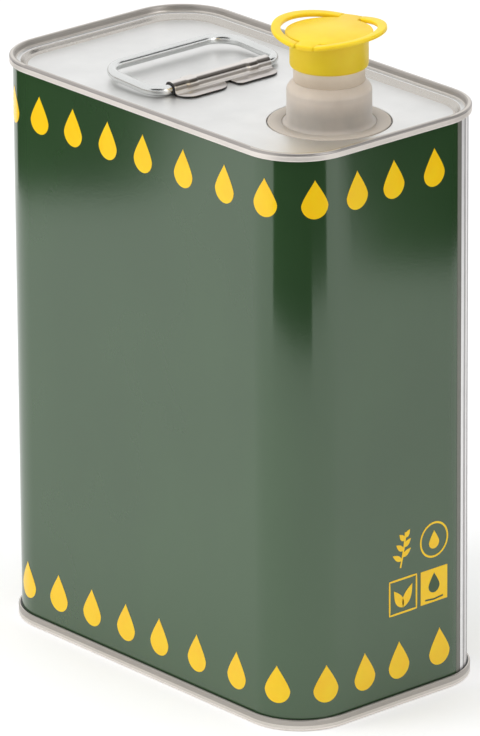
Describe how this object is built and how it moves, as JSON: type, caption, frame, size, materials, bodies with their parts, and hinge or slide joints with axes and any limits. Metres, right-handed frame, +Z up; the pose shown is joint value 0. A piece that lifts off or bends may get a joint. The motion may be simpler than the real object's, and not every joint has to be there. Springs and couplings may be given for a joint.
{
  "type": "oil tin",
  "caption": "Rectangular oil tin with rounded corners and rolled seams, a folding wire handle and a pull-up pouring spout closed by a yellow cap with pull loops.",
  "frame": {"origin": "middle of the foot, on the surface that the tin stands on", "axes": "+Z up, +X along the long side towards the spout, +Y across the short side"},
  "size_m": [0.1564, 0.0904, 0.2311],
  "materials": {
    "printed_tinplate": "satin lacquer",
    "tinplate": "bright rolled",
    "galvanised_wire": "bright drawn",
    "seam_compound": "matte",
    "gasket_rubber": "matte",
    "spout_plastic": "translucent",
    "cap_plastic": "smooth",
    "liner_foam": "soft"
  },
  "bodies": {
    "tin": {"body_shell": "printed_tinplate", "top_end": "tinplate", "bottom_end": "tinplate", "top_seam_compound": "seam_compound", "bottom_seam_compound": "seam_compound", "spout_base": "spout_plastic", "spout_gasket": "gasket_rubber", "spout_sleeve": "spout_plastic", "handle_bracket": "tinplate"},
    "bail": {"handle_bail": "galvanised_wire"},
    "nozzle": {"spout_nozzle": "spout_plastic"},
    "cap": {"cap": "cap_plastic", "cap_liner": "liner_foam"},
    "loop_right": {"pull_loop_right": "cap_plastic"},
    "loop_left": {"pull_loop_left": "cap_plastic"}
  },
  "joints": [
    {"name": "bail_swing", "type": "hinge", "parent": "tin", "child": "bail", "pos_m": [-0.01, 0, 0.19985], "axis": [0, 1, 0], "range_deg": [-3, 177]},
    {"name": "spout_slide", "type": "slide", "parent": "tin", "child": "nozzle", "axis": [0, 0, 1], "range_m": [-0.0289, 0], "deforming": ["spout_sleeve"]},
    {"name": "cap_lift", "type": "slide", "parent": "nozzle", "child": "cap", "axis": [0, 0, 1], "range_m": [0, 0.05]},
    {"name": "loop_right_lift", "type": "hinge", "parent": "cap", "child": "loop_right", "pos_m": [0.04855, 0.00131, 0.229], "axis": [0.3746, -0.9272, 0], "range_deg": [-8, 92]},
    {"name": "loop_left_lift", "type": "hinge", "parent": "cap", "child": "loop_left", "pos_m": [0.04205, -0.00131, 0.229], "axis": [-0.3746, 0.9272, 0], "range_deg": [-8, 92]}
  ]
}
